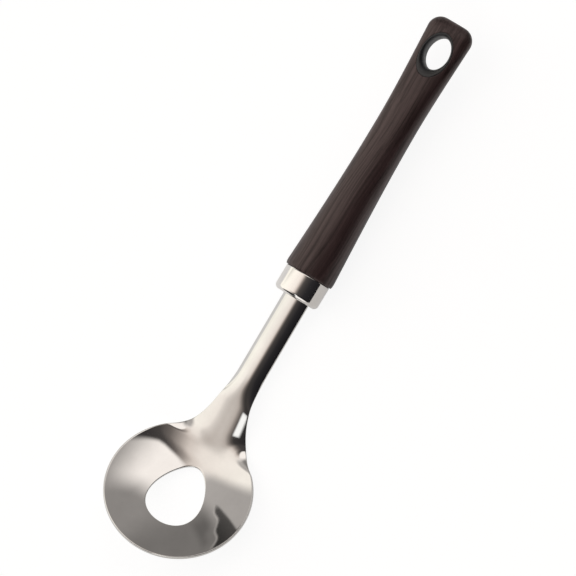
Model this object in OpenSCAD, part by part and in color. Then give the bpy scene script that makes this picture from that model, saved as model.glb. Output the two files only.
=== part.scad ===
// Meatball spoon: a stamped steel head with an egg-shaped hole in its shallow dish,
// a drawn steel ferrule, and a moulded wood-grain handle with a lined hanging hole.
// +X runs along the handle axis to the hanging end and +Z points up, out of the dish.
// The spoon lies on the dish's underside and on the thick front end of the handle, whose
// upper side is level while its underside tapers towards the hanging end.

/* [Bowl] */
// Width of the round rim, on its upper edge
rim_w = 60; // [57:0.5:63]
// Length of the rim along its dipping plane
rim_l = 58.7; // [57:0.1:61]
// Angle by which the rim plane dips towards the handle
rim_dip = 21; // [19:1:23]
// Depth of the dish under the rim plane, at its middle
dish_depth = 5.9; // [5:0.1:7]
// Thickness of the steel sheet
sheet_t = 1.4; // [1:0.1:1.6]
// Length of the egg-shaped hole along the spoon
egg_l = 25.6; // [20:0.2:27]
// Width of the egg-shaped hole, before it narrows
egg_w = 21.7; // [16:0.1:23]
// Share by which the hole narrows towards the handle
egg_taper = 0.27; // [0:0.01:0.3]
// Distance of the hole's middle from the rim's middle, towards the tip
egg_back = 1.7; // [0:0.1:3]

/* [Neck and shank] */
// Width of the arched shank
shank_w = 12.1; // [11:0.1:12.6]
// Outer radius of the shank's arch
arch_r = 7.2; // [6.8:0.1:8]
// Height of the shank's ridge over the handle axis, at the ferrule
ridge_z = 0.9; // [0.4:0.1:1.4]
// Rise of the ridge for each millimetre towards the ferrule
ridge_slope = 0.045; // [0.03:0.005:0.06]
// Greatest slope of the neck's crowned sides
neck_crown = 0.5; // [0.4:0.02:0.56]
// Distance from the rim's middle to where the neck has become the shank
neck_l = 57; // [54:1:60]
// Width of the tang inside the handle
tang_w = 8.8; // [7:0.1:9]
// Length of the tang behind the ferrule
tang_l = 40; // [30:1:44]

/* [Ferrule] */
// Distance from the rim's middle to the ferrule's front
ferrule_x = 89.7; // [86:0.1:94]
// Length of the ferrule
ferrule_l = 10.6; // [9:0.1:12]
// Outer diameter of the ferrule
ferrule_d = 19.6; // [19:0.1:20]
// Wall thickness of the ferrule
ferrule_wall = 0.8; // [0.6:0.1:1]
// Radius of the ferrule's rounded front edge
ferrule_edge_r = 2; // [1.5:0.1:2.5]
// Radius of the ferrule's rolled rear edge
ferrule_roll_r = 0.6; // [0.4:0.1:0.8]
// Clearance round the shank where it enters the ferrule
shank_gap = 0.15; // [0.1:0.05:0.3]

/* [Handle] */
// Length of the handle behind the ferrule
handle_l = 117; // [105:1:125]
// Width of the handle near its front end
front_w = 21.3; // [21:0.1:22]
// Width of the handle at its waist
waist_w = 16.4; // [15.8:0.1:17.4]
// Width of the handle near its hanging end
rear_w = 19.55; // [19:0.05:20.6]
// Thickness of the handle near its front end
front_t = 20.2; // [20:0.1:21]
// Thickness of the handle near its hanging end
rear_t = 9.4; // [8.6:0.1:10.4]
// Distance from the handle's front end to its waist
waist_at = 70; // [64:1:74]
// Diameter of the socket's wide mouth, in the spigot
socket_d = 15; // [14.6:0.1:15.4]
// Diameter of the socket round the tang
tang_bore_d = 10.6; // [10:0.1:11]

/* [Hanging hole] */
// Outer length of the hole's liner, at the handle's face
eyelet_l = 19.6; // [18.5:0.1:20]
// Outer width of the hole's liner, at the handle's face
eyelet_w = 13.1; // [12.4:0.1:13.4]
// Length of the open throat
throat_l = 13.9; // [12.5:0.1:14.5]
// Width of the open throat
throat_w = 10.2; // [8:0.1:10.6]
// Distance from the liner's middle to the handle's end
hole_inset = 15.3; // [14.8:0.1:16]
// Distance by which the throat lies behind the liner's middle
throat_back = 1.15; // [0:0.05:1.3]

/* [Hidden] */
$fn = 64;

steel_colour = "#c9c7c3";
grain_colour = "#473a36";
liner_colour = "#3b3b3d";
cement_colour = "#b9ad93";

shank_hw = shank_w / 2;
arch_sag = arch_r - sqrt(arch_r * arch_r - shank_hw * shank_hw);
arch_edge_slope = shank_hw / (arch_r - arch_sag);
arch_z = ridge_z - arch_r;
rim_rx = rim_l / 2 * cos(rim_dip);
rim_ry = rim_w / 2;

// Places along the spoon, from the rim's middle, and the fits inside the ferrule
spigot_setback = 1.6;
spigot_gap = 0.05;
socket_mouth_l = 6;
socket_slack = 2;
tang_shoulder_l = 6;
handle_x = ferrule_x + ferrule_l;
handle_end = handle_x + handle_l;
hole_x = handle_end - hole_inset;
tang_end = handle_x + tang_l;
spigot_x = ferrule_x + spigot_setback;
spigot_d = ferrule_d - 2 * (ferrule_wall + spigot_gap);
socket_step_x = handle_x + socket_mouth_l;
socket_end = tang_end + socket_slack;
axis_z = front_t / 2;

// Stretches along the spoon, from the rim's middle, over which the neck's form changes
blend_from = 10;
blend_to = 58;
crown_from = 19.5;
crown_to = 30;
arch_from = 40;
arch_to = 54;

// Distances from the ridge over which the crown's slope grows and then eases off, and by
// what share it eases off
crown_hw = 13;
ease_hw = 5;
crown_ease = 0.8;

// How far cutting forms run past the faces that they cut
overrun = 1;

function smooth(t) = let (c = min(1, max(0, t))) c * c * (3 - 2 * c);
function ramp(t) = let (c = min(1, max(0, t))) pow(c, 3) - pow(c, 4) / 2 + max(0, t - 1);
function over(x, from, to) = smooth((x - from) / (to - from));
function mix(a, b, t) = a + (b - a) * t;
function round_off(t) = 1 - sqrt(max(0, 1 - t * t));

// Triangles of a four-cornered face, and of a closed form made of equal rings of points
function quad(a, b, c, d) = [[a, b, c], [a, c, d]];
function joined(lists) = [for (faces = lists, f = faces) f];
function loft_faces(ring_n, around) =
    let (last = (ring_n - 1) * around)
    concat(
        joined([for (k = [0 : ring_n - 2], i = [0 : around - 1])
            let (a = k * around + i, b = k * around + (i + 1) % around)
            quad(a, a + around, b + around, b)]),
        [for (i = [1 : around - 2]) [0, i, i + 1]],
        [for (i = [1 : around - 2]) [last, last + i + 1, last + i]]
    );

// Drop of the arched shank's top at a distance q from its ridge
function arch_drop(q) =
    q <= shank_hw ? arch_r - sqrt(arch_r * arch_r - q * q)
                  : arch_sag + arch_edge_slope * (q - shank_hw);

// Drop of the neck's low crown at a distance q from its ridge
function crown_drop(q) = neck_crown
    * (crown_hw * ramp(q / crown_hw) - crown_ease * ease_hw * ramp((q - crown_hw) / ease_hw));

// Height of the head's upper face, with the rim's middle at height rim_z
function dish_z(x, y, rim_z) =
    rim_z - tan(rim_dip) * x - dish_depth * (1 - pow(x / rim_rx, 2) - pow(y / rim_ry, 2));
function ridge_at(x) = ridge_z - ridge_slope * max(0, ferrule_x - x);
function face_z(x, y, rim_z) =
    mix(dish_z(x, y, rim_z), ridge_at(x), over(x, blend_from, blend_to))
    - mix(
        over(x, crown_from, crown_to) * crown_drop(abs(y)),
        arch_drop(abs(y)),
        over(x, arch_from, arch_to)
    );

// Unit normal of the upper face, and the matching point of the lower face
probe = 0.01;
function face_normal(x, y, rim_z) =
    let (
        sx = (face_z(x + probe, y, rim_z) - face_z(x - probe, y, rim_z)) / (2 * probe),
        sy = (face_z(x, y + probe, rim_z) - face_z(x, y - probe, rim_z)) / (2 * probe),
        n = [-sx, -sy, 1]
    )
    n / norm(n);
function upper(p, rim_z) = [p.x, p.y, face_z(p.x, p.y, rim_z)];
function lower(p, rim_z) = upper(p, rim_z) - sheet_t * face_normal(p.x, p.y, rim_z);

// Outline of the head's bowl and neck, seen from above, anticlockwise from the shank
cut_steps = 12;
fillet_steps = 14;
rim_steps = 44;
outline_n = cut_steps + 2 * fillet_steps + rim_steps;
neck_angle = 39;
neck_lead = 0.36;
neck_tail = 18;
function rim_point(a) = [rim_rx * cos(a), rim_ry * sin(a)];
function bezier(p, t) =
    pow(1 - t, 3) * p[0] + 3 * t * pow(1 - t, 2) * p[1] + 3 * t * t * (1 - t) * p[2] + pow(t, 3) * p[3];
fillet_poles = [
    [neck_l, shank_hw],
    [neck_l - neck_tail, shank_hw],
    rim_point(neck_angle) + neck_lead * [rim_rx * sin(neck_angle), -rim_ry * cos(neck_angle)],
    rim_point(neck_angle)
];
function mirrored(p) = [p.x, -p.y];
function outline_point(j) =
    j < cut_steps ? [neck_l, mix(-shank_hw, shank_hw, j / cut_steps)]
    : j < cut_steps + fillet_steps ? bezier(fillet_poles, (j - cut_steps) / fillet_steps)
    : j < cut_steps + fillet_steps + rim_steps
        ? rim_point(mix(neck_angle, 360 - neck_angle, (j - cut_steps - fillet_steps) / rim_steps))
    : mirrored(bezier(fillet_poles, (outline_n - j) / fillet_steps));

// The rim's height brings the head's lowest point level with the handle's underside
underside_step = 0.25;
function underside_z(rim_z) = min(concat(
    [for (x = [0 : underside_step : neck_l]) lower([x, 0], rim_z).z],
    [for (j = [0 : outline_n - 1]) lower(outline_point(j), rim_z).z]
));
function settled(rim_z) = rim_z - (underside_z(rim_z) + axis_z);
rim_guess = 1.4;
rim_z = settled(settled(settled(rim_guess)));

// Edge of the egg-shaped hole, turned part of the way towards each outline point
hole_share = 0.5;
function even_turn(j) = 360 * (j - cut_steps / 2) / outline_n;
function outline_turn(j) =
    let (p = outline_point(j), a = atan2(p.y, p.x))
    a < 0 && j > outline_n / 2 ? a + 360 : a;
function hole_turn(j) = mix(even_turn(j), outline_turn(j), hole_share);
function egg_point(a) =
    [egg_l / 2 * cos(a) - egg_back, egg_w / 2 * sin(a) * (1 - egg_taper * cos(a))];

// Points and faces of the head: rings from the hole to the outline, then cross-sections
// of the shank and the tang
rings = 14;
section_x = [ferrule_x, handle_x - tang_shoulder_l, handle_x, tang_end];
section_hw = [shank_hw, shank_hw, tang_w / 2, tang_w / 2];
sections = len(section_x);
across = cut_steps + 1;
plan_points = concat(
    [for (k = [0 : rings], j = [0 : outline_n - 1])
        mix(egg_point(hole_turn(j)), outline_point(j), k / rings)],
    [for (i = [0 : sections - 1], c = [0 : cut_steps])
        [section_x[i], mix(-section_hw[i], section_hw[i], c / cut_steps)]]
);
plan_n = len(plan_points);
function ring_at(k, j) = k * outline_n + j % outline_n;
function section_at(i, c) = i == 0 ? ring_at(rings, c) : (rings + 1) * outline_n + (i - 1) * across + c;
function flipped(faces) = [for (f = faces) [for (i = [2 : -1 : 0]) f[i] + plan_n]];
function wall(a, b) = quad(a, b, b + plan_n, a + plan_n);
ring_faces = joined([for (k = [0 : rings - 1], j = [0 : outline_n - 1])
    quad(ring_at(k, j), ring_at(k, j + 1), ring_at(k + 1, j + 1), ring_at(k + 1, j))]);
section_faces = joined([for (i = [0 : sections - 1], c = [0 : cut_steps - 1])
    quad(section_at(i, c), section_at(i, c + 1), section_at(i + 1, c + 1), section_at(i + 1, c))]);
upper_faces = concat(ring_faces, section_faces);
edge_faces = joined(concat(
    [for (j = [0 : outline_n - 1]) wall(ring_at(0, j + 1), ring_at(0, j))],
    [for (j = [cut_steps : outline_n - 1]) wall(ring_at(rings, j), ring_at(rings, j + 1))],
    [for (i = [0 : sections - 1]) wall(section_at(i, 0), section_at(i + 1, 0))],
    [for (i = [0 : sections - 1]) wall(section_at(i + 1, cut_steps), section_at(i, cut_steps))],
    [for (c = [0 : cut_steps - 1]) wall(section_at(sections, c), section_at(sections, c + 1))]
));

// Half-width and half-thickness of the handle, and how square its section is
front_reach = 40;
rear_reach = 20;
rear_at = 110;
end_r = 6;
end_rise = 3.2;
front_edge = 2.4;
front_inset = 0.6;
taper_bend = 1.15;
front_square = 2;
rear_square = 2.7;
function swell(d, reach) = norm([1, d / reach]) - 1;
function side_w(d) =
    d < waist_at
        ? waist_w + (front_w - waist_w) * swell(waist_at - d, front_reach)
                    / swell(waist_at - front_edge, front_reach)
        : waist_w + (rear_w - waist_w) * swell(d - waist_at, rear_reach)
                    / swell(rear_at - waist_at, rear_reach);
function side_t(d) = mix(front_t, rear_t, pow(max(0, d - front_edge) / (rear_at - front_edge), taper_bend));
function squareness(d) = mix(front_square, rear_square, smooth(d / rear_at));
function end_off(d) = round_off(max(0, (d - handle_l + end_r) / end_r));
function front_off(d) = front_inset * round_off(max(0, 1 - d / front_edge));
function half_w(d) = side_w(d) / 2 - end_r * end_off(d) - front_off(d);
function half_t(d) = side_t(d) / 2 - end_rise * end_off(d) - front_off(d);
function signed_pow(v, e) = sign(v) * pow(abs(v), e);

// Rise of the section's middle that keeps the upper side level
function lift(d) = (front_t - side_t(d)) / 2;
function handle_point(d, a) =
    let (e = 2 / squareness(d))
    [handle_x + d, half_w(d) * signed_pow(cos(a), e), lift(d) + half_t(d) * signed_pow(sin(a), e)];

// Stations along the handle, close together where its ends are rounded
around = 40;
body_steps = 24;
front_steps = 3;
round_steps = 6;
stations = concat(
    [for (i = [0 : front_steps]) front_edge * (1 - cos(90 * i / front_steps))],
    [for (i = [1 : body_steps]) mix(front_edge, handle_l - end_r, i / body_steps)],
    [for (i = [1 : round_steps]) handle_l - end_r + end_r * sin(90 * i / round_steps)]
);

// The liner of the hanging hole is a ring of equal cross-sections. Each starts at the
// handle's upper face, passes a thin lip, flares in to the throat and mirrors downwards.
lip = 0.35;
land_hz = 1.6;
flare_steps = 6;
function handle_top(x, y) =
    let (d = x - handle_x, n = squareness(d))
    lift(d) + half_t(d) * pow(1 - pow(abs(y) / half_w(d), n), 1 / n);
function oval_point(l, w, a) = [hole_x + l / 2 * cos(a), w / 2 * sin(a)];
function raised(p) = [p.x, p.y, handle_top(p.x, p.y)];
function below(p) = [p.x, p.y, 2 * lift(p.x - handle_x) - p.z];
function flare_point(a, t) =
    let (
        throat = oval_point(throat_l, throat_w, a) + [throat_back, 0],
        mouth = raised(oval_point(eyelet_l - 2 * lip, eyelet_w - 2 * lip, a)),
        p = mix(throat, [mouth.x, mouth.y], round_off(t))
    )
    [p.x, p.y, mix(lift(p.x - handle_x) + land_hz, mouth.z, t)];
function upper_liner(a) = concat(
    [raised(oval_point(eyelet_l, eyelet_w, a))],
    [for (i = [flare_steps : -1 : 0]) flare_point(a, sin(90 * i / flare_steps))]
);
function liner_section(a) =
    let (half = upper_liner(a), n = len(half))
    concat(half, [for (i = [n - 1 : -1 : 0]) below(half[i])]);
liner_n = 2 * (flare_steps + 2);
liner_points = joined([for (i = [0 : around - 1]) liner_section(360 * i / around)]);
function liner_at(i, k) = i % around * liner_n + k % liner_n;
liner_faces = joined([for (i = [0 : around - 1], k = [0 : liner_n - 1])
    quad(liner_at(i, k), liner_at(i, k + 1), liner_at(i + 1, k + 1), liner_at(i + 1, k))]);

// Puts the spoon on the ground with its length centred on the origin
tip_x = min([for (j = [0 : outline_n - 1]) lower(outline_point(j), rim_z).x]);
module placed() {
    translate([-(tip_x + handle_end) / 2, 0, axis_z]) children();
}

module along_x(x) {
    translate([x, 0, 0]) rotate([90, 0, 90]) children();
}

module rod(x0, x1, d) {
    along_x(x0) cylinder(h = x1 - x0, d = d);
}

module oval_column(l, w) {
    translate([hole_x, 0, -front_t]) scale([l, w, 1]) cylinder(h = 2 * front_t, d = 1);
}

// Cross-section of the shank in the YZ plane, swollen by a clearance
module shank_section(gap) {
    spread = asin(shank_hw / arch_r);
    reach = 2 * arch_r;
    gap_angle = gap / arch_r * 180 / PI;
    translate([0, arch_z]) intersection() {
        difference() {
            circle(r = arch_r + gap);
            circle(r = arch_r - sheet_t - gap);
        }
        polygon([
            [0, 0],
            [-reach * sin(spread + gap_angle), reach * cos(spread + gap_angle)],
            [0, 2 * reach],
            [reach * sin(spread + gap_angle), reach * cos(spread + gap_angle)]
        ]);
    }
}

// Half-section of a cup with rounded ends, as radius and place along the axis
module cup_outline(r, x0, x1, front_r) {
    rear_r = ferrule_roll_r;
    translate([0, x0]) square([r - front_r, x1 - x0]);
    translate([0, x0 + front_r]) square([r, x1 - x0 - front_r - rear_r]);
    translate([0, x0 + front_r]) square([r - rear_r, x1 - x0 - front_r]);
    translate([r - front_r, x0 + front_r]) circle(r = front_r);
    translate([r - rear_r, x1 - rear_r]) circle(r = rear_r);
}

module handle_form() {
    polyhedron(
        [for (d = stations, i = [0 : around - 1]) handle_point(d, 360 * i / around)],
        loft_faces(len(stations), around)
    );
}

module head_form() {
    polyhedron(
        concat([for (p = plan_points) upper(p, rim_z)], [for (p = plan_points) lower(p, rim_z)]),
        concat(upper_faces, flipped(upper_faces), edge_faces)
    );
}

module spoon_head() {
    color(steel_colour) placed() head_form();
}

module ferrule() {
    color(steel_colour) placed() difference() {
        rotate([0, 90, 0]) rotate_extrude() difference() {
            cup_outline(ferrule_d / 2, ferrule_x, handle_x, ferrule_edge_r);
            cup_outline(
                ferrule_d / 2 - ferrule_wall, ferrule_x + ferrule_wall, handle_x + overrun,
                ferrule_edge_r - ferrule_wall
            );
        }
        along_x(ferrule_x - overrun) linear_extrude(ferrule_edge_r + 2 * overrun) shank_section(shank_gap);
    }
}

module handle() {
    color(grain_colour) placed() difference() {
        union() {
            handle_form();
            rod(spigot_x, handle_x + front_edge, spigot_d);
        }
        rod(spigot_x - overrun, socket_step_x, socket_d);
        rod(socket_step_x - overrun, socket_end, tang_bore_d);
        oval_column(eyelet_l, eyelet_w);
    }
}

module hanging_eyelet() {
    color(liner_colour) placed() polyhedron(liner_points, liner_faces);
}

module tang_cement() {
    color(cement_colour) placed() difference() {
        union() {
            rod(spigot_x, socket_step_x, socket_d);
            rod(socket_step_x - overrun, socket_end, tang_bore_d);
        }
        head_form();
    }
}

spoon_head();
ferrule();
handle();
hanging_eyelet();
tang_cement();
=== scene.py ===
import bmesh
import bpy
import numpy as np
from mathutils import Matrix, Vector


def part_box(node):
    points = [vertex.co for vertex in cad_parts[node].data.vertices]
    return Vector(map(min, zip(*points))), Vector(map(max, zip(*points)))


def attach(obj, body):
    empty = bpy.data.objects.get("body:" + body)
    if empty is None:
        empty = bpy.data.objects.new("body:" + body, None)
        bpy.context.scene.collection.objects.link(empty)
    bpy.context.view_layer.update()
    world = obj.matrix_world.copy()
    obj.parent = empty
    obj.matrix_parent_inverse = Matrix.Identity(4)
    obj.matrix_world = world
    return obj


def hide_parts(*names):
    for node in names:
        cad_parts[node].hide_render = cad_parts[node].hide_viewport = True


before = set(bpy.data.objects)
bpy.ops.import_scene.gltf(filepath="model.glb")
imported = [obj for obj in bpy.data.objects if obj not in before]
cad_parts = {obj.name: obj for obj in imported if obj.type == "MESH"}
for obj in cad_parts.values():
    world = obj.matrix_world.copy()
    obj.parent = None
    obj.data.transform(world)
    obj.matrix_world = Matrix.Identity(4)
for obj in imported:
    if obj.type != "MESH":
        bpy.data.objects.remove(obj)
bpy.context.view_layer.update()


# The spoon head is one stamping of polished stainless sheet: a shallow round dish that dips
# towards the handle, an egg-shaped hole punched through it, a neck that gathers into an arched
# shank, and a narrow tang that the handle hides. The cut edges are tumbled round.
MM = 0.001

# Sheet, dish and hole, in millimetres like every size of a piece
sheet_t, edge_r = 1.4, 0.32
rim_w, rim_l, rim_dip, dish_depth = 60.0, 58.7, np.radians(21), 5.9
egg_l, egg_w, egg_taper, egg_back = 25.6, 21.7, 0.27, 1.7

# Shank and tang. Places along the spoon are measured from the rim's middle.
shank_hw, arch_r, ridge_z, ridge_slope = 6.05, 7.2, 0.9, 0.045
ferrule_x, ferrule_l, shank_end = 89.7, 10.6, 94.3
handle_x = ferrule_x + ferrule_l
tang_start, tang_l, tang_hw = handle_x, 40.0, 4.4
tang_end = tang_start + tang_l

# Neck: the curve of its sides in plan, the slope and widths of its crown, and the stretches over
# which the dish goes over into the ridge, the crown sets in and the arch takes its place
neck_l, neck_angle, neck_lead, neck_tail = 57.0, np.radians(39), 0.36, 18.0
neck_crown, crown_hw, ease_hw, crown_ease = 0.5, 13.0, 5.0, 0.8
blend_from, blend_to = 10.0, 58.0
crown_from, crown_to = 19.5, 30.0
arch_from, arch_to = 40.0, 54.0

# The rim's middle, at the height of the ferrule's axis, in the frame: the formulas measure from it
handle_l, front_t = 117.0, 20.2
rim_middle = np.array([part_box("handle")[1].x / MM - handle_x - handle_l, 0.0,
                       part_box("handle")[0].z / MM + front_t / 2])
rim_rx, rim_ry = rim_l / 2 * np.cos(rim_dip), rim_w / 2
rim_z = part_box("spoon_head")[1].z / MM - rim_middle[2] - rim_rx * np.tan(rim_dip)
arch_sag = arch_r - np.sqrt(arch_r**2 - shank_hw**2)


def smooth(t):
    """Smooth step: t held between 0 and 1, squared, times three less twice itself."""
    t = np.clip(t, 0, 1)
    return t * t * (3 - 2 * t)


def over(x, start, end):
    """Smooth step of the share of the way that x has come from start to end."""
    return smooth((x - start) / (end - start))


def mix(a, b, t):
    """Straight line from a, at share t = 0, to b, at share 1."""
    return a + (b - a) * t


def eased(t):
    """Area under the smooth step up to t: its cube less half its fourth power, then straight on."""
    c = np.clip(t, 0, 1)
    return c**3 - c**4 / 2 + np.maximum(t - 1, 0)


def head_height(x, y):
    """Height of the head's upper face. The dish is a paraboloid hung from the dipping rim plane.
    Along the neck it goes over into the ridge, which climbs evenly to the ferrule, less the drop
    to each side. First that is a crown, whose slope grows along a smooth step and eases off near
    the rim. Then it is the shank's circular arch, carried on straight past the edge."""
    q = np.abs(y)
    dish = rim_z - np.tan(rim_dip) * x - dish_depth * (1 - (x / rim_rx) ** 2 - (y / rim_ry) ** 2)
    ridge = ridge_z - ridge_slope * np.maximum(ferrule_x - x, 0)
    arch = arch_r - np.sqrt(arch_r**2 - np.minimum(q, shank_hw) ** 2)
    arch = arch + np.maximum(q - shank_hw, 0) * shank_hw / (arch_r - arch_sag)
    crown = neck_crown * (crown_hw * eased(q / crown_hw)
                          - crown_ease * ease_hw * eased((q - crown_hw) / ease_hw))
    crown = crown * over(x, crown_from, crown_to)
    return mix(dish, ridge, over(x, blend_from, blend_to)) - mix(crown, arch, over(x, arch_from, arch_to))


def head_face(plan):
    """Points of the upper face over plan points, and their unit normals, which lean against the
    slopes in x and y. The slopes are taken over a short reach to either side."""
    x, y, reach = plan[..., 0], plan[..., 1], 0.01
    slope_x = (head_height(x + reach, y) - head_height(x - reach, y)) / (2 * reach)
    slope_y = (head_height(x, y + reach) - head_height(x, y - reach)) / (2 * reach)
    normal = np.stack([-slope_x, -slope_y, np.ones_like(x)], -1)
    return (np.stack([x, y, head_height(x, y)], -1),
            normal / np.linalg.norm(normal, axis=-1, keepdims=True))


def rim_plan(a):
    """Ellipse that the round, dipping rim makes seen from above, at turns a: its half-length times
    the cosine and its half-width times the sine."""
    return np.stack([rim_rx * np.cos(a), rim_ry * np.sin(a)], -1)


def fillet_plan(t):
    """Cubic Bezier curve from the shank's side out to the rim, tangent to both."""
    lead = neck_lead * np.array([rim_rx * np.sin(neck_angle), -rim_ry * np.cos(neck_angle)])
    poles = [np.array([neck_l, shank_hw]), np.array([neck_l - neck_tail, shank_hw]),
             rim_plan(neck_angle) + lead, rim_plan(neck_angle)]
    t = t[:, None]
    return ((1 - t) ** 3 * poles[0] + 3 * t * (1 - t) ** 2 * poles[1]
            + 3 * t * t * (1 - t) * poles[2] + t**3 * poles[3])


def egg_plan(a):
    """Egg: an ellipse whose width shrinks with the cosine of the turn, towards the handle."""
    return np.stack([egg_l / 2 * np.cos(a) - egg_back,
                     egg_w / 2 * np.sin(a) * (1 - egg_taper * np.cos(a))], -1)


def outward(points, normals):
    """Unit vectors in the face, square to a closed anticlockwise edge: tangent cross normal."""
    out = np.cross(np.roll(points, -1, 0) - np.roll(points, 1, 0), normals)
    return out / np.linalg.norm(out, axis=-1, keepdims=True)


def rounded_edge(points, normals, out):
    """Rows that carry an edge from the upper to the lower face: a quarter circle, the straight
    cut, and a second quarter circle, all in the plane of the normal and the outward vector."""
    quarter = np.linspace(0, np.pi / 2, num=5)
    centre = points - edge_r * normals
    upper = [centre + edge_r * (np.cos(t) * normals + np.sin(t) * out) for t in quarter]
    centre = points - (sheet_t - edge_r) * normals
    lower = [centre + edge_r * (np.sin(t) * out - np.cos(t) * normals) for t in quarter[::-1]]
    return np.stack(upper + lower)


def wrapped(rows):
    """Rows with their first point repeated at the end, so that they close."""
    return np.concatenate([rows, rows[:, :1]], 1)


def piece(name, patches, material, cad_node):
    """Solid from grids of points in millimetres that meet along their edges. Neighbouring points
    of a grid span quads; points that coincide are welded; a quad that lost a side is a triangle.
    No point dips under the table. The piece then takes the place of its CAD node."""
    weld_digits, sharp_angle = 4, np.radians(50)
    points, quads, start = [], [], 0
    for rows in patches:
        index = start + np.arange(rows.shape[0] * rows.shape[1]).reshape(rows.shape[:2])
        points.append(rows.reshape(-1, 3))
        quads.append(np.stack(
            [index[:-1, :-1], index[:-1, 1:], index[1:, 1:], index[1:, :-1]], -1).reshape(-1, 4))
        start += index.size
    points, quads = np.concatenate(points), np.concatenate(quads)
    _, first, welded = np.unique(
        np.round(points, weld_digits), axis=0, return_index=True, return_inverse=True)
    quads = welded.reshape(-1)[quads]
    lost = quads == np.roll(quads, -1, 1)
    thin = lost.sum(1) == 1
    faces = quads[~lost.any(1)].tolist() + quads[thin][~lost[thin]].reshape(-1, 3).tolist()
    placed = points[first] + rim_middle
    placed[:, 2] = np.maximum(placed[:, 2], 0)
    mesh = bpy.data.meshes.new(name)
    mesh.from_pydata((placed * MM).tolist(), [], faces)
    shell = bmesh.new()
    shell.from_mesh(mesh)
    bmesh.ops.recalc_face_normals(shell, faces=shell.faces)
    shell.to_mesh(mesh)
    shell.free()
    mesh.shade_smooth()
    mesh.set_sharp_from_angle(angle=sharp_angle)
    mesh.materials.append(material)
    made = bpy.data.objects.new(name, mesh)
    bpy.context.scene.collection.objects.link(made)
    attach(made, "root")
    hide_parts(cad_node)


def new_material(name):
    """Node material, its tree and its Principled shader."""
    material = bpy.data.materials.new(name)
    material.use_nodes = True
    tree = material.node_tree
    return material, tree, tree.nodes["Principled BSDF"]


def feed(tree, receiver, links):
    """Link a socket to each input of a node that links gives by its name or number."""
    for label, socket in links.items():
        tree.links.new(socket, receiver.inputs[label])


def node(tree, kind, links=None, **settings):
    """New shader node. Settings with a name of an input set that input, others the node itself.
    The sockets in links feed its other inputs."""
    made = tree.nodes.new(kind)
    for key, value in settings.items():
        label = key.replace("_", " ").title()
        if label in made.inputs:
            made.inputs[label].default_value = value
        else:
            setattr(made, key, value)
    feed(tree, made, links or {})
    return made


def colour_ramp(tree, value, stops):
    """Colour that a socket picks on straight lines between stops of a place and a colour."""
    made = node(tree, "ShaderNodeValToRGB", {"Fac": value})
    elements = made.color_ramp.elements
    while len(elements) < len(stops):
        elements.new(1.0)
    for element, (place, colour) in zip(elements, stops):
        element.position, element.color = place, (*colour, 1)
    return made.outputs["Color"]


# Polishing leaves hair-fine lines along the work and soft clouds where the wheel bore harder.
# The group gives both, for every steel piece. Scales of patterns are per metre, and nearly all of
# a noise lies between the low and the high value.
noise_low, noise_high = 0.3, 0.7
polish = bpy.data.node_groups.new("polish_marks", "ShaderNodeTree")
polish.interface.new_socket("Vector", in_out="INPUT", socket_type="NodeSocketVector")
for label in ("Smooth", "Dull"):
    polish.interface.new_socket(label, in_out="INPUT", socket_type="NodeSocketFloat")
for label in ("Roughness", "Height", "Cloud"):
    polish.interface.new_socket(label, in_out="OUTPUT", socket_type="NodeSocketFloat")
polish_in, polish_out = polish.nodes.new("NodeGroupInput"), polish.nodes.new("NodeGroupOutput")
stretched = node(polish, "ShaderNodeMapping", {"Vector": polish_in.outputs["Vector"]},
                 scale=(40, 1100, 1100)).outputs[0]
lines = node(polish, "ShaderNodeTexNoise", {"Vector": stretched},
             scale=1.0, detail=3.0, roughness=0.6).outputs["Fac"]
clouds = node(polish, "ShaderNodeTexNoise", {"Vector": polish_in.outputs["Vector"]},
              scale=90.0, detail=4.0, roughness=0.55).outputs["Fac"]
marks_together = node(polish, "ShaderNodeMix", {"A": lines, "B": clouds}, factor=0.6).outputs[0]
roughness = node(polish, "ShaderNodeMapRange", {
    "Value": marks_together, "To Min": polish_in.outputs["Smooth"], "To Max": polish_in.outputs["Dull"]},
    from_min=noise_low, from_max=noise_high).outputs[0]
feed(polish, polish_out, {"Roughness": roughness, "Height": lines, "Cloud": clouds})


def steel_finish(name, tone, smooth_end, dull_end, line_strength):
    """Polished stainless steel: warm grey metal, which the clouds shade a little either way, with
    the polish's roughness and its lines as a very low bump."""
    shade, line_depth = 0.045, 0.00002
    material, tree, shader = new_material(name)
    marks = node(tree, "ShaderNodeGroup", node_tree=polish)
    feed(tree, marks, {"Vector": node(tree, "ShaderNodeTexCoord").outputs["Object"]})
    marks.inputs["Smooth"].default_value = smooth_end
    marks.inputs["Dull"].default_value = dull_end
    tint = colour_ramp(tree, marks.outputs["Cloud"], (
        (noise_low, [(1 - shade) * c for c in tone]), (noise_high, [(1 + shade) * c for c in tone])))
    bump = node(tree, "ShaderNodeBump", {"Height": marks.outputs["Height"]},
                strength=line_strength, distance=line_depth).outputs["Normal"]
    feed(tree, shader, {"Base Color": tint, "Roughness": marks.outputs["Roughness"], "Normal": bump})
    shader.inputs["Metallic"].default_value = 1.0
    return material


# Outline of the dish and neck, closed by a straight cut where the shank starts
cut_steps, fillet_steps, rim_steps, ring_steps, shank_steps, tang_steps = 48, 64, 264, 56, 72, 24
side = fillet_plan(np.linspace(0, 1, fillet_steps, endpoint=False))
cut_y = np.linspace(-shank_hw, shank_hw, cut_steps, endpoint=False)
cut = np.stack([np.full(cut_steps, neck_l), cut_y], -1)
around_rim = rim_plan(np.linspace(neck_angle, 2 * np.pi - neck_angle, rim_steps + 1))
head_plan = np.concatenate([cut, side, around_rim, side[:0:-1] * [1, -1]])
outline_points = len(head_plan)
past_cut = outline_points - cut_steps

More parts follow.
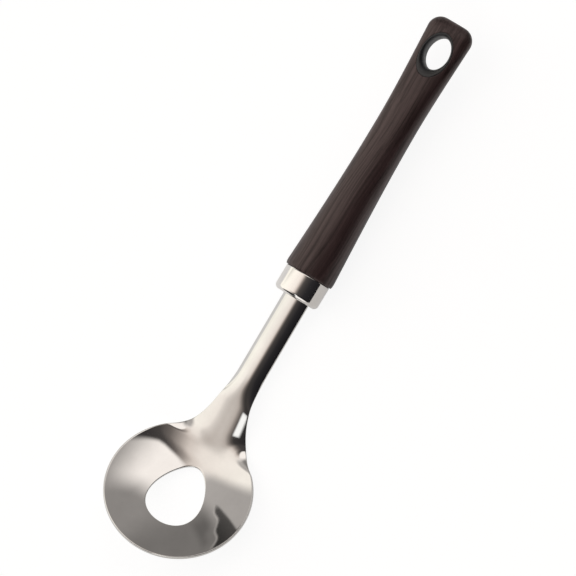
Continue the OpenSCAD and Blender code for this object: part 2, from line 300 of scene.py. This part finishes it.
# Outline of the whole stamping, with the shank that narrows inside the ferrule to the tang. It is
# drawn in by the radius of the rounded edge.
strip_x = np.concatenate([np.linspace(neck_l, shank_end, shank_steps),
                          np.linspace(tang_start, tang_end, tang_steps)])
strip_hw = mix(shank_hw, tang_hw, np.clip((strip_x - shank_end) / (tang_start - shank_end), 0, 1))
right_side = np.stack([strip_x, -strip_hw], -1)[1:]
left_side = right_side[::-1] * [1, -1]
tip_y = np.linspace(-tang_hw, tang_hw, cut_steps + 1)[1:-1]
tang_tip = np.stack([np.full(cut_steps - 1, tang_end), tip_y], -1)
edge_plan = np.concatenate([head_plan[cut_steps:], head_plan[:1], right_side, tang_tip, left_side])
edge_plan = edge_plan - edge_r * outward(*head_face(edge_plan))[:, :2]

# The dish and neck: rings from the hole's edge out to the drawn-in outline. The hole's points lie
# halfway between even turns and the turns of the outline's own points.
head_plan[cut_steps:] = edge_plan[:past_cut]
head_plan[:cut_steps] = np.linspace(edge_plan[past_cut], edge_plan[0], cut_steps, endpoint=False)
even_turn = 2 * np.pi * (np.arange(outline_points) - cut_steps / 2) / outline_points
own_turn = np.unwrap(np.arctan2(head_plan[:, 1], head_plan[:, 0]))
hole_plan = egg_plan((even_turn + own_turn) / 2)
hole_plan = hole_plan + edge_r * outward(*head_face(hole_plan))[:, :2]
ring_share = np.linspace(0, 1, ring_steps + 1)[:, None, None]
dish_plan = wrapped(mix(hole_plan, head_plan, ring_share))

# The shank and tang: rows across, from the cut to the tang's tip
strip_cut = np.concatenate([head_plan[:cut_steps], edge_plan[:1]])
strip_edge = edge_plan[past_cut + 1:][:len(right_side)]
strip_rows = np.linspace(strip_edge, strip_edge * [1, -1], cut_steps + 1, axis=1)
strip_rows[-1] = edge_plan[past_cut + len(right_side):][:cut_steps + 1]
strip_plan = np.concatenate([strip_cut[None], strip_rows])

dish_face, dish_normal = head_face(dish_plan)
strip_face, strip_normal = head_face(strip_plan)
edge_face, edge_normal = head_face(edge_plan)
hole_face, hole_normal = head_face(hole_plan)
head_steel = steel_finish("polished_sheet_steel", tone=(0.67, 0.66, 0.642),
                          smooth_end=0.035, dull_end=0.07, line_strength=0.1)
piece("spoon_head_stamping", [
    dish_face, dish_face - sheet_t * dish_normal,
    strip_face, strip_face - sheet_t * strip_normal,
    wrapped(rounded_edge(edge_face, edge_normal, outward(edge_face, edge_normal))),
    wrapped(rounded_edge(hole_face, hole_normal, -outward(hole_face, hole_normal))),
], head_steel, "spoon_head")


# The ferrule is a short cup drawn from thinner steel sheet. Its rounded front has a slot, cut to
# the arch of the shank, and its rolled rear edge closes over the spigot on the handle's front.
ferrule_r, ferrule_wall, ferrule_edge_r, ferrule_roll_r, shank_gap = 9.8, 0.8, 2.0, 0.6, 0.15
ferrule_flat_r = ferrule_r - ferrule_edge_r


def slot_outline(top, end, bottom):
    """Outline of the slot, from its right end over the top: the outer arc, a straight end, the
    inner arc back, and the other end, all swollen by the clearance. With each point comes the
    direction in which the flat front runs out from it: square to the outer arc, turning on evenly
    past the ends, and fanned out under the inner arc."""
    spread = np.arcsin(shank_hw / arch_r) + shank_gap / arch_r
    outer, inner, fan = arch_r + shank_gap, arch_r - sheet_t - shank_gap, np.radians(35)
    over_top = np.linspace(-spread, spread, top, endpoint=False)
    back = np.linspace(spread, -spread, bottom, endpoint=False)
    turn = np.concatenate([over_top, np.full(end, spread), back, np.full(end, -spread)])
    radius = np.concatenate([np.full(top, outer), np.linspace(outer, inner, end, endpoint=False),
                             np.full(bottom, inner), np.linspace(inner, outer, end, endpoint=False)])
    lean = np.concatenate([over_top, np.linspace(spread, np.pi - fan, end, endpoint=False),
                           np.linspace(np.pi - fan, np.pi + fan, bottom, endpoint=False),
                           np.linspace(np.pi + fan, 2 * np.pi - spread, end, endpoint=False)])
    points = np.stack([radius * np.sin(turn), radius * np.cos(turn) + ridge_z - arch_r], -1)
    return points, np.stack([np.sin(lean), np.cos(lean)], -1)


def to_circle(points, directions, radius):
    """Where lines from points inside a circle meet it: the larger root of the quadratic."""
    along = (points * directions).sum(-1)
    reach = -along + np.sqrt(along**2 - (points**2).sum(-1) + radius**2)
    return points + reach[:, None] * directions


def cup_profile(radius, front, rear, front_r, rear_r):
    """Place along the axis and radius of a cup's side, from its flat front over a quarter circle,
    along the side and round a second quarter circle to the rear."""
    quarter = np.linspace(0, np.pi / 2, num=13)
    x = np.concatenate([front + front_r * (1 - np.cos(quarter)), rear - rear_r * (1 - np.sin(quarter))])
    r = np.concatenate([radius - front_r * (1 - np.sin(quarter)), radius - rear_r * (1 - np.cos(quarter))])
    return x, r


def slab(x, section):
    """Points of a cross-section in y and z, at a place along the axis."""
    return np.concatenate([np.full((len(section), 1), x), section], -1)


slot_edge, slot_lean = slot_outline(top=132, end=20, bottom=68)
unit = to_circle(slot_edge, slot_lean, ferrule_flat_r) / ferrule_flat_r
outer_x, outer_r = cup_profile(ferrule_r, ferrule_x, handle_x, ferrule_edge_r, ferrule_roll_r)
inner_x, inner_r = cup_profile(ferrule_r - ferrule_wall, ferrule_x + ferrule_wall, handle_x,
                               ferrule_edge_r - ferrule_wall, 0.0)
ferrule_rows = [slab(ferrule_x, mix(slot_edge, unit * ferrule_flat_r, t)) for t in (0, 0.25, 0.5, 0.75)]
ferrule_rows += [slab(x, unit * r) for x, r in zip(outer_x, outer_r)]
ferrule_rows += [slab(x, unit * r) for x, r in zip(inner_x[::-1], inner_r[::-1])]
ferrule_rows += [slab(ferrule_x + ferrule_wall, slot_edge), slab(ferrule_x, slot_edge)]
ferrule_steel = steel_finish("polished_ferrule_steel", tone=(0.76, 0.74, 0.715),
                             smooth_end=0.08, dull_end=0.13, line_strength=0.06)
piece("ferrule_cup", [wrapped(np.stack(ferrule_rows))], ferrule_steel, "ferrule")


# The tang is set in a grey-buff resin cement, which is poured into the socket in the handle and is
# out of sight once the ferrule is on. The CAD solid keeps its shape.
cement_dark, cement_light = (0.34, 0.29, 0.21), (0.60, 0.54, 0.43)
cement, cement_tree, cement_shader = new_material("tang_casting_cement")
cement_grit = node(cement_tree, "ShaderNodeTexNoise", {
    "Vector": node(cement_tree, "ShaderNodeTexCoord").outputs["Object"]}, scale=1400.0, detail=5.0)
cement_tone = colour_ramp(cement_tree, cement_grit.outputs["Fac"], ((0, cement_dark), (1, cement_light)))
feed(cement_tree, cement_shader, {"Base Color": cement_tone})
cement_shader.inputs["Roughness"].default_value = 0.85
tang_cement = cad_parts["tang_cement"]
tang_cement.data.materials.clear()
tang_cement.data.materials.append(cement)


# The handle is moulded in a dark wood-grain plastic, thick and round at the ferrule and flat at
# the hanging end, with a waist between. Its upper side is level, and only the underside tapers.
# A stepped socket for the tang runs up inside it.
front_w, waist_w, rear_w, rear_t = 21.3, 16.4, 19.55, 9.4
front_square, rear_square, taper_bend = 2.0, 2.7, 1.15
end_r, end_rise, front_edge, front_inset = 6.0, 3.2, 2.4, 0.6
hole_l, hole_w, seam_r = 19.6, 13.1, 0.22

# Places and reaches along the handle, from its front end
waist_at, rear_at, hole_at = 70.0, 110.0, 101.7
front_reach, rear_reach = 40.0, 20.0

# The spigot under the ferrule, and the socket's two steps
spigot_x, spigot_r = 91.3, 8.95
socket_r, socket_step_x, bore_r, socket_end = 7.5, 106.3, 5.3, 142.3


def round_off(t):
    """Depth of a unit quarter circle at a share t of the way over its edge: 1 less the root of what
    the square of t leaves of 1."""
    return 1 - np.sqrt(np.maximum(0, 1 - np.clip(t, 0, 1) ** 2))


def swell(d, reach):
    """Hyperbola that starts level and leaves at an even slope: root of 1 and the square, less 1."""
    return np.hypot(1, d / reach) - 1


def handle_thick(d):
    """Thickness at a distance d behind the ferrule: a taper along a power of the distance."""
    share = np.maximum(0, d - front_edge) / (rear_at - front_edge)
    return mix(front_t, rear_t, share**taper_bend)


def handle_lift(d):
    """Rise of the section's middle that keeps the upper side level: half of what the taper takes."""
    return (front_t - handle_thick(d)) / 2


def handle_half(d):
    """Half-width and half-thickness at a distance d behind the ferrule, and the power of the
    section's superellipse. The width swells both ways from the waist, and both halves round off
    at the ends."""
    fore = swell(waist_at - d, front_reach) / swell(waist_at - front_edge, front_reach)
    aft = swell(d - waist_at, rear_reach) / swell(rear_at - waist_at, rear_reach)
    width = waist_w + np.where(d < waist_at, (front_w - waist_w) * fore, (rear_w - waist_w) * aft)
    end = round_off((d - handle_l + end_r) / end_r)
    front = front_inset * round_off(1 - d / front_edge)
    return (width / 2 - end_r * end - front, handle_thick(d) / 2 - end_rise * end - front,
            mix(front_square, rear_square, smooth(d / rear_at)))


def signed_power(v, power):
    """Power of the size of v, with its sign."""
    return np.sign(v) * np.abs(v) ** power


def handle_point(d, a):
    """Point of the handle's side, on a superellipse in each cross-section: the halves times the
    cosine and sine of angle a, each to the power of 2 over the section's own power."""
    half_w, half_t, power = handle_half(d)
    return np.stack([handle_x + d, half_w * signed_power(np.cos(a), 2 / power),
                     handle_lift(d) + half_t * signed_power(np.sin(a), 2 / power)], -1)


def handle_top(d, y):
    """Height of the handle's upper side over the axis: the superellipse solved for z."""
    half_w, half_t, power = handle_half(d)
    return handle_lift(d) + half_t * np.maximum(0, 1 - (np.abs(y) / half_w) ** power) ** (1 / power)


def below(points):
    """Points of the upper side mirrored through the sections' middles to the underside."""
    return np.stack([points[..., 0], points[..., 1],
                     2 * handle_lift(points[..., 0] - handle_x) - points[..., 2]], -1)


def oval(length, width, a):
    """Ellipse round the hanging hole at turns a, as distance behind the ferrule and place across:
    half the length times the cosine, and half the width times the sine."""
    return hole_at + length / 2 * np.cos(a), width / 2 * np.sin(a)


def seam_ring(outside, t, a):
    """Ring of the rounded edge beside the seam round the hole, at turn t of its quarter circle: an
    oval that lies outside the hole's own by a share of the radius, or inside for outside = -1."""
    margin = 2 * outside * seam_r * (1 - np.sin(t))
    d, y = oval(hole_l + margin, hole_w + margin, a)
    return np.stack([handle_x + d, y, handle_top(d, y) - seam_r * (1 - np.cos(t))], -1)


# The side, in one stretch up to the zone of the hanging hole and one behind it
half_steps, front_steps, body_steps, rear_steps = 96, 9, 112, 20
zone_from, zone_to, zone_steps, zone_rings = 84.0, 113.4, 56, 26
turn = np.linspace(0, 2 * np.pi, 2 * half_steps + 1)
front_d = front_edge * (1 - np.cos(np.linspace(0, np.pi / 2, front_steps)))
body_d = np.concatenate([front_d, np.linspace(front_edge, zone_from, body_steps)[1:]])
rear_turn = np.linspace(np.arcsin((zone_to - handle_l + end_r) / end_r), np.pi / 2, rear_steps)
rear_d = np.concatenate([[zone_to], handle_l - end_r + end_r * np.sin(rear_turn)[1:]])
handle_body = handle_point(*np.meshgrid(body_d, turn, indexing="ij"))
handle_rear = handle_point(*np.meshgrid(rear_d, turn, indexing="ij"))
end_pole = [[[handle_x + handle_l, 0, handle_lift(handle_l)]]]
handle_rear = np.concatenate([handle_rear, np.broadcast_to(end_pole, (1, len(turn), 3))])

# The inside, from the front face over the spigot into the stepped socket
bore = [(handle_x, spigot_r), (spigot_x, spigot_r), (spigot_x, socket_r), (socket_step_x, socket_r),
        (socket_step_x, bore_r), (socket_end, bore_r), (socket_end, 0.0)]
circle = np.stack([np.cos(turn), np.sin(turn)], -1)
handle_bore = np.stack([handle_body[0]] + [slab(x, r * circle) for x, r in bore])

# Round the hanging hole, rings in distance and angle from the hole's edge out to a border that
# the body and the rear end share. The hole's points lie between even turns and the border's own.
half_turn, zone_d = turn[:half_steps + 1], np.linspace(zone_from, zone_to, zone_steps + 1)
border_d = np.concatenate([zone_d[:-1], np.full(half_steps, zone_to),
                           zone_d[:0:-1], np.full(half_steps, zone_from)])
border_a = np.concatenate([np.zeros(zone_steps), half_turn[:-1],
                           np.full(zone_steps, np.pi), half_turn[:0:-1]])
border_half, _, border_power = handle_half(border_d)
border_y = border_half * signed_power(np.cos(border_a), 2 / border_power)
border_own = np.unwrap(np.arctan2(border_y / hole_w, (border_d - hole_at) / hole_l))
full_turn = 2 * np.pi * np.sign(border_own[-1] - border_own[0])
border_even = border_own[0] + np.linspace(0, full_turn, len(border_d), endpoint=False)
own_share = 0.6
hole_turn = mix(border_even, border_own, own_share)
edge_d, edge_y = oval(hole_l + 2 * seam_r, hole_w + 2 * seam_r, hole_turn)
edge_half, _, edge_power = handle_half(edge_d)
edge_a = np.arccos(signed_power(edge_y / edge_half, edge_power / 2))
zone_share = np.linspace(0, 1, zone_rings + 1)[:, None]
zone_top = wrapped(handle_point(mix(edge_d, border_d, zone_share), mix(edge_a, border_a, zone_share)))
seam_turns = np.radians([0, 30, 60, 90])
zone_seam = wrapped(np.stack([zone_top[0, :-1]] + [seam_ring(1, t, hole_turn) for t in seam_turns[1:]]))
zone_wall = np.stack([zone_seam[-1], below(zone_seam[-1])])

# The grain is noise drawn out along the handle, in bands, streaks and hair-fine fibres. A slow
# wander bends them all, and short dark pores are let into them.
wood_dark, wood_light, pore_dark = (0.012, 0.0056, 0.0058), (0.056, 0.030, 0.0305), (0.016, 0.009, 0.008)
band_share, streak_share, fibre_share, pore_depth = 0.3, 0.45, 0.25, 0.5
grain_skew, wander = 0.03, 0.006
grain, grain_tree, grain_shader = new_material("wood_grain_moulding")
grain_object = node(grain_tree, "ShaderNodeTexCoord").outputs["Object"]
grain_place = node(grain_tree, "ShaderNodeMapping", {"Vector": grain_object},
                   rotation=(0, 0, grain_skew)).outputs[0]


def drawn_noise(place, along, across, detail, output="Fac"):
    """Noise drawn out along the handle, with its scales along it and across it, per metre."""
    drawn = node(grain_tree, "ShaderNodeMapping", {"Vector": place}, scale=(along, across, across))
    return node(grain_tree, "ShaderNodeTexNoise", {"Vector": drawn.outputs[0]},
                scale=1.0, detail=detail, roughness=0.6).outputs[output]


def calculate(tree, operation, *operands):
    """Output of a Math node. Each operand is a socket that feeds it or a plain number."""
    made = tree.nodes.new("ShaderNodeMath")
    made.operation = operation
    for socket, operand in zip(made.inputs, operands):
        if isinstance(operand, (int, float)):
            socket.default_value = operand
        else:
            tree.links.new(operand, socket)
    return made.outputs[0]


def between(tree, share, first, second):
    """Colour on the straight line between two, each a socket or a plain colour, at a share."""
    made = node(tree, "ShaderNodeMix", {"Factor": share}, data_type="RGBA")
    for label, colour in (("A", first), ("B", second)):
        if isinstance(colour, tuple):
            made.inputs[label].default_value = (*colour, 1)
        else:
            tree.links.new(colour, made.inputs[label])
    return made.outputs["Result"]


grain_bend = node(grain_tree, "ShaderNodeVectorMath", {
    0: drawn_noise(grain_place, along=18, across=60, detail=1.0, output="Color"), 2: grain_place},
    operation="MULTIPLY_ADD")
grain_bend.inputs[1].default_value = (0, wander, wander)
grain_bent = grain_bend.outputs[0]
bands = drawn_noise(grain_bent, along=7, across=190, detail=2.0)
streaks = drawn_noise(grain_bent, along=20, across=850, detail=3.0)
fibres = drawn_noise(grain_bent, along=50, across=2800, detail=3.0)
pores = drawn_noise(grain_bent, along=220, across=3600, detail=2.0)
figure = calculate(grain_tree, "MULTIPLY_ADD", bands, band_share, calculate(
    grain_tree, "MULTIPLY_ADD", streaks, streak_share, calculate(
        grain_tree, "MULTIPLY", fibres, fibre_share)))
pore_mask = node(grain_tree, "ShaderNodeMapRange", {"Value": pores},
                 from_min=0.6, from_max=0.7, to_max=0.7).outputs[0]
grain_tone = colour_ramp(grain_tree, figure, ((0.38, wood_dark), (0.62, wood_light)))
grain_height = calculate(grain_tree, "SUBTRACT", fibres, calculate(
    grain_tree, "MULTIPLY", pore_mask, pore_depth))
feed(grain_tree, grain_shader, {
    "Base Color": between(grain_tree, pore_mask, grain_tone, pore_dark),
    "Roughness": node(grain_tree, "ShaderNodeMapRange", {"Value": streaks}, from_min=noise_low,
                      from_max=noise_high, to_min=0.40, to_max=0.50).outputs[0],
    "Coat Weight": node(grain_tree, "ShaderNodeMapRange", {"Value": figure}, from_min=0.4,
                        from_max=0.6, to_min=0.0, to_max=0.7).outputs[0],
    "Normal": node(grain_tree, "ShaderNodeBump", {"Height": grain_height},
                   strength=0.3, distance=0.00005).outputs["Normal"]})
grain_shader.inputs["Coat Roughness"].default_value = 0.44
grain_shader.inputs["Coat Tint"].default_value = (1.0, 0.93, 0.91, 1)
grain_shader.inputs["Specular IOR Level"].default_value = 0.4
grain_shader.inputs["Specular Tint"].default_value = (1.0, 0.88, 0.85, 1)
piece("handle_moulding", [
    handle_body, handle_rear, handle_bore,
    zone_top, below(zone_top), zone_seam, below(zone_seam), zone_wall,
], grain, "handle")


# The liner of the hanging hole is a dark grey moulded ring, flush with both faces of the handle.
# It flares in from a thin lip to a narrow throat, so that a hook finds its way through.
lip, throat_l, throat_w, throat_back, land_hz = 0.35, 13.9, 10.2, 1.15, 1.6
liner_steps, flare_steps = 192, 17
liner_dark, liner_light = (0.019, 0.019, 0.020), (0.031, 0.031, 0.033)


def liner_rows(a):
    """Half of the liner's section, from the seam over the lip and down the flare, for turns a.
    The flare is a quarter of an ellipse from the lip's inner edge to the throat's land."""
    rows = [seam_ring(-1, t, a) for t in seam_turns[::-1]]
    mouth_d, mouth_y = oval(hole_l - 2 * lip, hole_w - 2 * lip, a)
    mouth_z = handle_top(mouth_d, mouth_y)
    throat_d, throat_y = oval(throat_l, throat_w, a)
    for t in np.sin(np.linspace(np.pi / 2, 0, flare_steps)):
        share = round_off(t)
        d = mix(throat_d + throat_back, mouth_d, share)
        rows.append(np.stack([handle_x + d, mix(throat_y, mouth_y, share),
                              mix(handle_lift(d) + land_hz, mouth_z, t)], -1))
    return np.stack(rows)


liner_upper = wrapped(liner_rows(np.linspace(0, 2 * np.pi, liner_steps, endpoint=False)))
liner_section = np.concatenate([liner_upper, below(liner_upper)[::-1]])
liner_plastic, liner_tree, liner_shader = new_material("moulded_liner_plastic")
liner_place = node(liner_tree, "ShaderNodeTexCoord").outputs["Object"]
liner_spark = node(liner_tree, "ShaderNodeTexNoise", {"Vector": liner_place},
                   scale=2600.0, detail=3.0).outputs["Fac"]
liner_cloud = node(liner_tree, "ShaderNodeTexNoise", {"Vector": liner_place},
                   scale=260.0, detail=4.0).outputs["Fac"]
feed(liner_tree, liner_shader, {
    "Base Color": colour_ramp(liner_tree, liner_cloud, (
        (noise_low, liner_dark), (noise_high, liner_light))),
    "Roughness": node(liner_tree, "ShaderNodeMapRange", {"Value": liner_cloud}, from_min=noise_low,
                      from_max=noise_high, to_min=0.36, to_max=0.48).outputs[0],
    "Normal": node(liner_tree, "ShaderNodeBump", {"Height": liner_spark},
                   strength=0.2, distance=0.00003).outputs["Normal"]})
piece("hanging_hole_liner", [np.concatenate([liner_section, liner_section[:1]])],
      liner_plastic, "hanging_eyelet")


# The spoon lies in a studio with a wide soft box on its left. A second box hangs before a dim wall
# beyond the handle's end, a small lamp and a pale wall stand low beyond the bowl, and the room on
# the right is dark. All of that is painted on the world's sky.
light_level = 1.4
black, white, warm_white = (0.0, 0.0, 0.0), (1.0, 1.0, 1.0), (1.0, 0.945, 0.91)
studio = bpy.data.worlds.new("soft_studio")
studio.use_nodes = True
studio_tree = studio.node_tree
bpy.context.scene.world = studio


def step(value, span):
    """Smooth step of a socket from 0 at the span's start to 1 at its end, whichever is larger."""
    start, end = span
    if start > end:
        return left_over(step(value, (end, start)))
    return node(studio_tree, "ShaderNodeMapRange", {"Value": value}, interpolation_type="SMOOTHSTEP",
                from_min=start, from_max=end).outputs[0]


def left_over(share):
    """What a share leaves of 1."""
    return calculate(studio_tree, "SUBTRACT", 1.0, share)


def times(*factors):
    """Product of sockets and numbers."""
    product = factors[0]
    for factor in factors[1:]:
        product = calculate(studio_tree, "MULTIPLY", product, factor)
    return product


def plus(*terms):
    """Sum of sockets and numbers."""
    total = terms[0]
    for term in terms[1:]:
        total = calculate(studio_tree, "ADD", total, term)
    return total


def beyond(value, start):
    """How far a socket lies beyond start, and 0 before it."""
    return calculate(studio_tree, "MAXIMUM", plus(value, -start), 0.0)


def short_of(value, end):
    """How far a socket lies short of end, as a negative number, and 0 past it."""
    return calculate(studio_tree, "MINIMUM", plus(value, -end), 0.0)


# Directions are measured about the spoon's own axis: round it from straight up to the right, and
# along it towards the handle. They and all spans of the light are in degrees.
towards = node(studio_tree, "ShaderNodeSeparateXYZ", {
    "Vector": node(studio_tree, "ShaderNodeTexCoord").outputs["Generated"]}).outputs
degrees = 180 / np.pi
to_right = times(calculate(studio_tree, "ARCTAN2", times(towards["Y"], -1.0), towards["Z"]), degrees)
to_handle = times(calculate(studio_tree, "ARCSINE", towards["X"]), degrees)

# Overhead, the soft box on the left fades into the dark room on the right. The fade lies a little
# further left to both ends of the spoon. The colours span the sky's width, half of it on either
# side of straight up.
handle_way, handle_shift = (4.0, 17.0), 7.0
bowl_way, bowl_shift = (-8.0, -20.0), 9.0
sky_width = 200.0
sky_stops = ((-100, (0.84, 0.82, 0.75)), (-70, (1.0, 0.97, 0.89)), (-40, (0.95, 0.90, 0.84)),
             (-12, (0.84, 0.775, 0.725)), (-3.5, (0.66, 0.59, 0.545)), (2.6, (0.34, 0.30, 0.275)),
             (8.5, (0.145, 0.126, 0.117)), (15, (0.06, 0.054, 0.052)), (27, (0.042, 0.038, 0.038)),
             (45, (0.021, 0.020, 0.022)), (100, (0.006, 0.006, 0.007)))
shift = plus(times(step(to_handle, handle_way), handle_shift), times(step(to_handle, bowl_way), bowl_shift))
sky_place = calculate(studio_tree, "MULTIPLY_ADD", plus(to_right, shift), 1 / sky_width, 0.5)
sky = colour_ramp(studio_tree, sky_place, [(angle / sky_width + 0.5, tone) for angle, tone in sky_stops])

# Beyond the bowl's end the soft box dims, and a small lamp stands low on the right
dim_way, dim_left, dim_depth = (-4.0, -16.0), (-34.0, -20.0), 0.25
lamp_top, lamp_left, lamp_right = (-28.5, -31.8), (-1.0, 5.0), (21.0, 13.0)
low_dim = times(step(to_handle, dim_way), step(to_right, dim_left), dim_depth)
low_lamp = times(step(to_handle, lamp_top), step(to_right, lamp_left), step(to_right, lamp_right))
low_light = between(studio_tree, low_lamp, between(studio_tree, low_dim, sky, black), white)

# Lower still it is dark on the left, and a pale wall stands on the right
low_wall_top, low_wall_left = (-36.0, -46.0), (2.0, 14.0)
low_wall_dark, low_wall_pale = (0.03, 0.03, 0.03), (0.9, 0.88, 0.86)
low_wall = between(studio_tree, step(to_right, low_wall_left), low_wall_dark, low_wall_pale)
bowl_side = between(studio_tree, step(to_handle, low_wall_top), low_light, low_wall)

# Beyond the handle's end is the dim wall with the second soft box, whose far edge slants away on
# the right. On the left the wall is lighter.
box_far, box_left, box_right, box_level = (57.0, 41.0), (-28.0, -8.0), (36.0, 6.0), 0.72
box_slant_from, box_slant = 6.0, -0.25
pale_far, pale_right, pale_level = (42.0, 31.0), (-12.0, -26.0), 0.21
wall_level, wall_gain, wall_gain_way = 0.18, 0.085, (-50.0, -10.0)
box_place = plus(to_handle, times(beyond(to_right, box_slant_from), box_slant))
end_box = times(step(box_place, box_far), step(to_right, box_left), step(to_right, box_right), box_level)
pale_wall = times(step(to_handle, pale_far), step(to_right, pale_right), pale_level)
dim_wall = plus(times(step(to_right, wall_gain_way), wall_gain), wall_level)

# On the far left a dark stand with a pale, wavy edge leans in front of the wall and shades it. The
# edge is a slanting line with a sine along it, and places are measured past that line.
edge_at, edge_slant = 14.94, 0.42
wave_height, wave_rate, wave_start = 0.7, 0.55, 23.65
stand_right, stand_foot, stand_side, stand_depth = (-40.0, -46.0), (30.5, 32.0), (0.4, -0.6), 0.82
trim_near, trim_far, trim_left, trim_level = (-0.9, 0.0), (1.1, 0.2), (-71.0, -66.0), 0.15
shade_right, shade_near, shade_far, shade_depth = (-40.0, -50.0), (2.0, 7.0), (49.5, 45.5), 0.3
wave = times(calculate(studio_tree, "SINE", calculate(
    studio_tree, "MULTIPLY_ADD", to_right, wave_rate, wave_start)), wave_height)
past_edge = plus(to_handle, times(to_right, edge_slant), wave, -edge_at)
far_left = step(to_right, stand_right)
stand = times(far_left, step(to_handle, stand_foot), step(past_edge, stand_side))
trim = times(far_left, step(past_edge, trim_near), step(past_edge, trim_far), step(to_right, trim_left))
shade = times(step(to_right, shade_right), step(past_edge, shade_near), step(to_handle, shade_far))
wall_light = times(plus(end_box, pale_wall, dim_wall),
                   left_over(times(stand, stand_depth)), left_over(times(shade, shade_depth)))
wall = between(studio_tree, plus(wall_light, times(trim, trim_level)), black, warm_white)

# The wall's foot: on the right it dips and climbs again, on the left it is soft and sinks
right_foot_way, rise, dip, dip_width = (17.5, 23.5), 0.5, 0.4, 9.0
climb_from, climb = 13.0, -0.7
left_foot_way, sink_from, sink = (12.0, 28.0), -20.0, -0.35
left_half, wall_end = (-8.0, -28.0), (-80.0, -71.0)
dipping = times(calculate(studio_tree, "MINIMUM", beyond(to_right, 0.0), dip_width), dip)
climbing = times(beyond(to_right, climb_from), climb)
rising = times(short_of(to_right, 0.0), rise)
right_foot = step(plus(to_handle, dipping, climbing, rising), right_foot_way)
left_foot = step(plus(to_handle, times(short_of(to_right, sink_from), sink)), left_foot_way)
on_left = step(to_right, left_half)
wall_share = times(plus(times(right_foot, left_over(on_left)), times(left_foot, on_left)),
                   step(to_right, wall_end))
sky_light = studio_tree.nodes["Background"]
feed(studio_tree, sky_light, {"Color": between(studio_tree, wall_share, bowl_side, wall)})
sky_light.inputs["Strength"].default_value = light_level


# The table is matt white paper. The camera sees it as a white ground that keeps the shadow. Steel mirrors
# part of that white as painted light, a share that grows from the right to the left, beside the soft box,
# where the box would light the paper more. Its sizes, and the camera's distance, are in metres.
table_half, paper_tone = 12.0, (0.8, 0.8, 0.8, 1)
ground_tone, ground_glow = (0.22, 0.22, 0.22, 1), 0.88
mirrored_right, mirrored_left, mirrored_reach = 0.36, 0.72, 0.03
table_white, table_tree, table_shader = new_material("table_white")
table_tree.nodes.remove(table_shader)
table_place = node(table_tree, "ShaderNodeSeparateXYZ", {
    "Vector": node(table_tree, "ShaderNodeTexCoord").outputs["Object"]}).outputs
# Painted light in what steel mirrors: the share of glowing white ground rises from right to left
mirrored = node(table_tree, "ShaderNodeMapRange", {"Value": table_place["Y"]}, from_min=-mirrored_reach,
                from_max=mirrored_reach, to_min=mirrored_right, to_max=mirrored_left).outputs[0]
seen = node(table_tree, "ShaderNodeLightPath").outputs
white_share = calculate(table_tree, "ADD", seen["Is Camera Ray"], calculate(
    table_tree, "MULTIPLY_ADD", seen["Is Glossy Ray"], mirrored, seen["Is Transmission Ray"]))
paper = node(table_tree, "ShaderNodeBsdfDiffuse", color=paper_tone)
ground = node(table_tree, "ShaderNodeAddShader", {
    0: node(table_tree, "ShaderNodeBsdfDiffuse", color=ground_tone).outputs[0],
    1: node(table_tree, "ShaderNodeEmission", color=(1, 1, 1, 1), strength=ground_glow).outputs[0]})
table_surface = node(table_tree, "ShaderNodeMixShader", {
    0: white_share, 1: paper.outputs[0], 2: ground.outputs[0]})
feed(table_tree, table_tree.nodes["Material Output"], {"Surface": table_surface.outputs[0]})
table_corners = [(-table_half, -table_half, 0), (table_half, -table_half, 0),
                 (table_half, table_half, 0), (-table_half, table_half, 0)]
table_mesh = bpy.data.meshes.new("table")
table_mesh.from_pydata(table_corners, [], [(0, 1, 2, 3)])
table_mesh.materials.append(table_white)
table = bpy.data.objects.new("table", table_mesh)
bpy.context.scene.collection.objects.link(table)


# The camera looks down over the right-hand side of the spoon through a long lens, turned so that
# the handle points to the upper right. It aims a little beside the shank, at the picture's middle.
lean, roll = np.radians(14.86), np.radians(31.15)
aim_along, aim_right, aim_up = 94.2957, -5.088, 0.25
camera_distance, film_width = 3.5, 36.0
frame_pixels, pixels_per_mm = 576, 2.495
along, across = np.array([1, 0, 0]), np.array([0, -np.cos(lean), -np.sin(lean)])
camera_right = np.sin(roll) * along + np.cos(roll) * across
camera_up = np.cos(roll) * along - np.sin(roll) * across
camera_back = np.array([0, -np.sin(lean), np.cos(lean)])
aim = rim_middle + aim_along * along + aim_right * camera_right + aim_up * camera_up
camera_data = bpy.data.cameras.new("camera")
camera_data.sensor_width = film_width
camera_data.lens = film_width * camera_distance / (frame_pixels / pixels_per_mm * MM)
camera_data.clip_end = 50.0
camera = bpy.data.objects.new("camera", camera_data)
camera.matrix_world = Matrix.Translation(Vector(aim * MM + camera_back * camera_distance)) @ Matrix(
    np.stack([camera_right, camera_up, camera_back], 1).tolist()).to_4x4()
bpy.context.scene.collection.objects.link(camera)
bpy.context.scene.camera = camera
bpy.context.scene.view_settings.view_transform = "Standard"

bpy.context.view_layer.update()
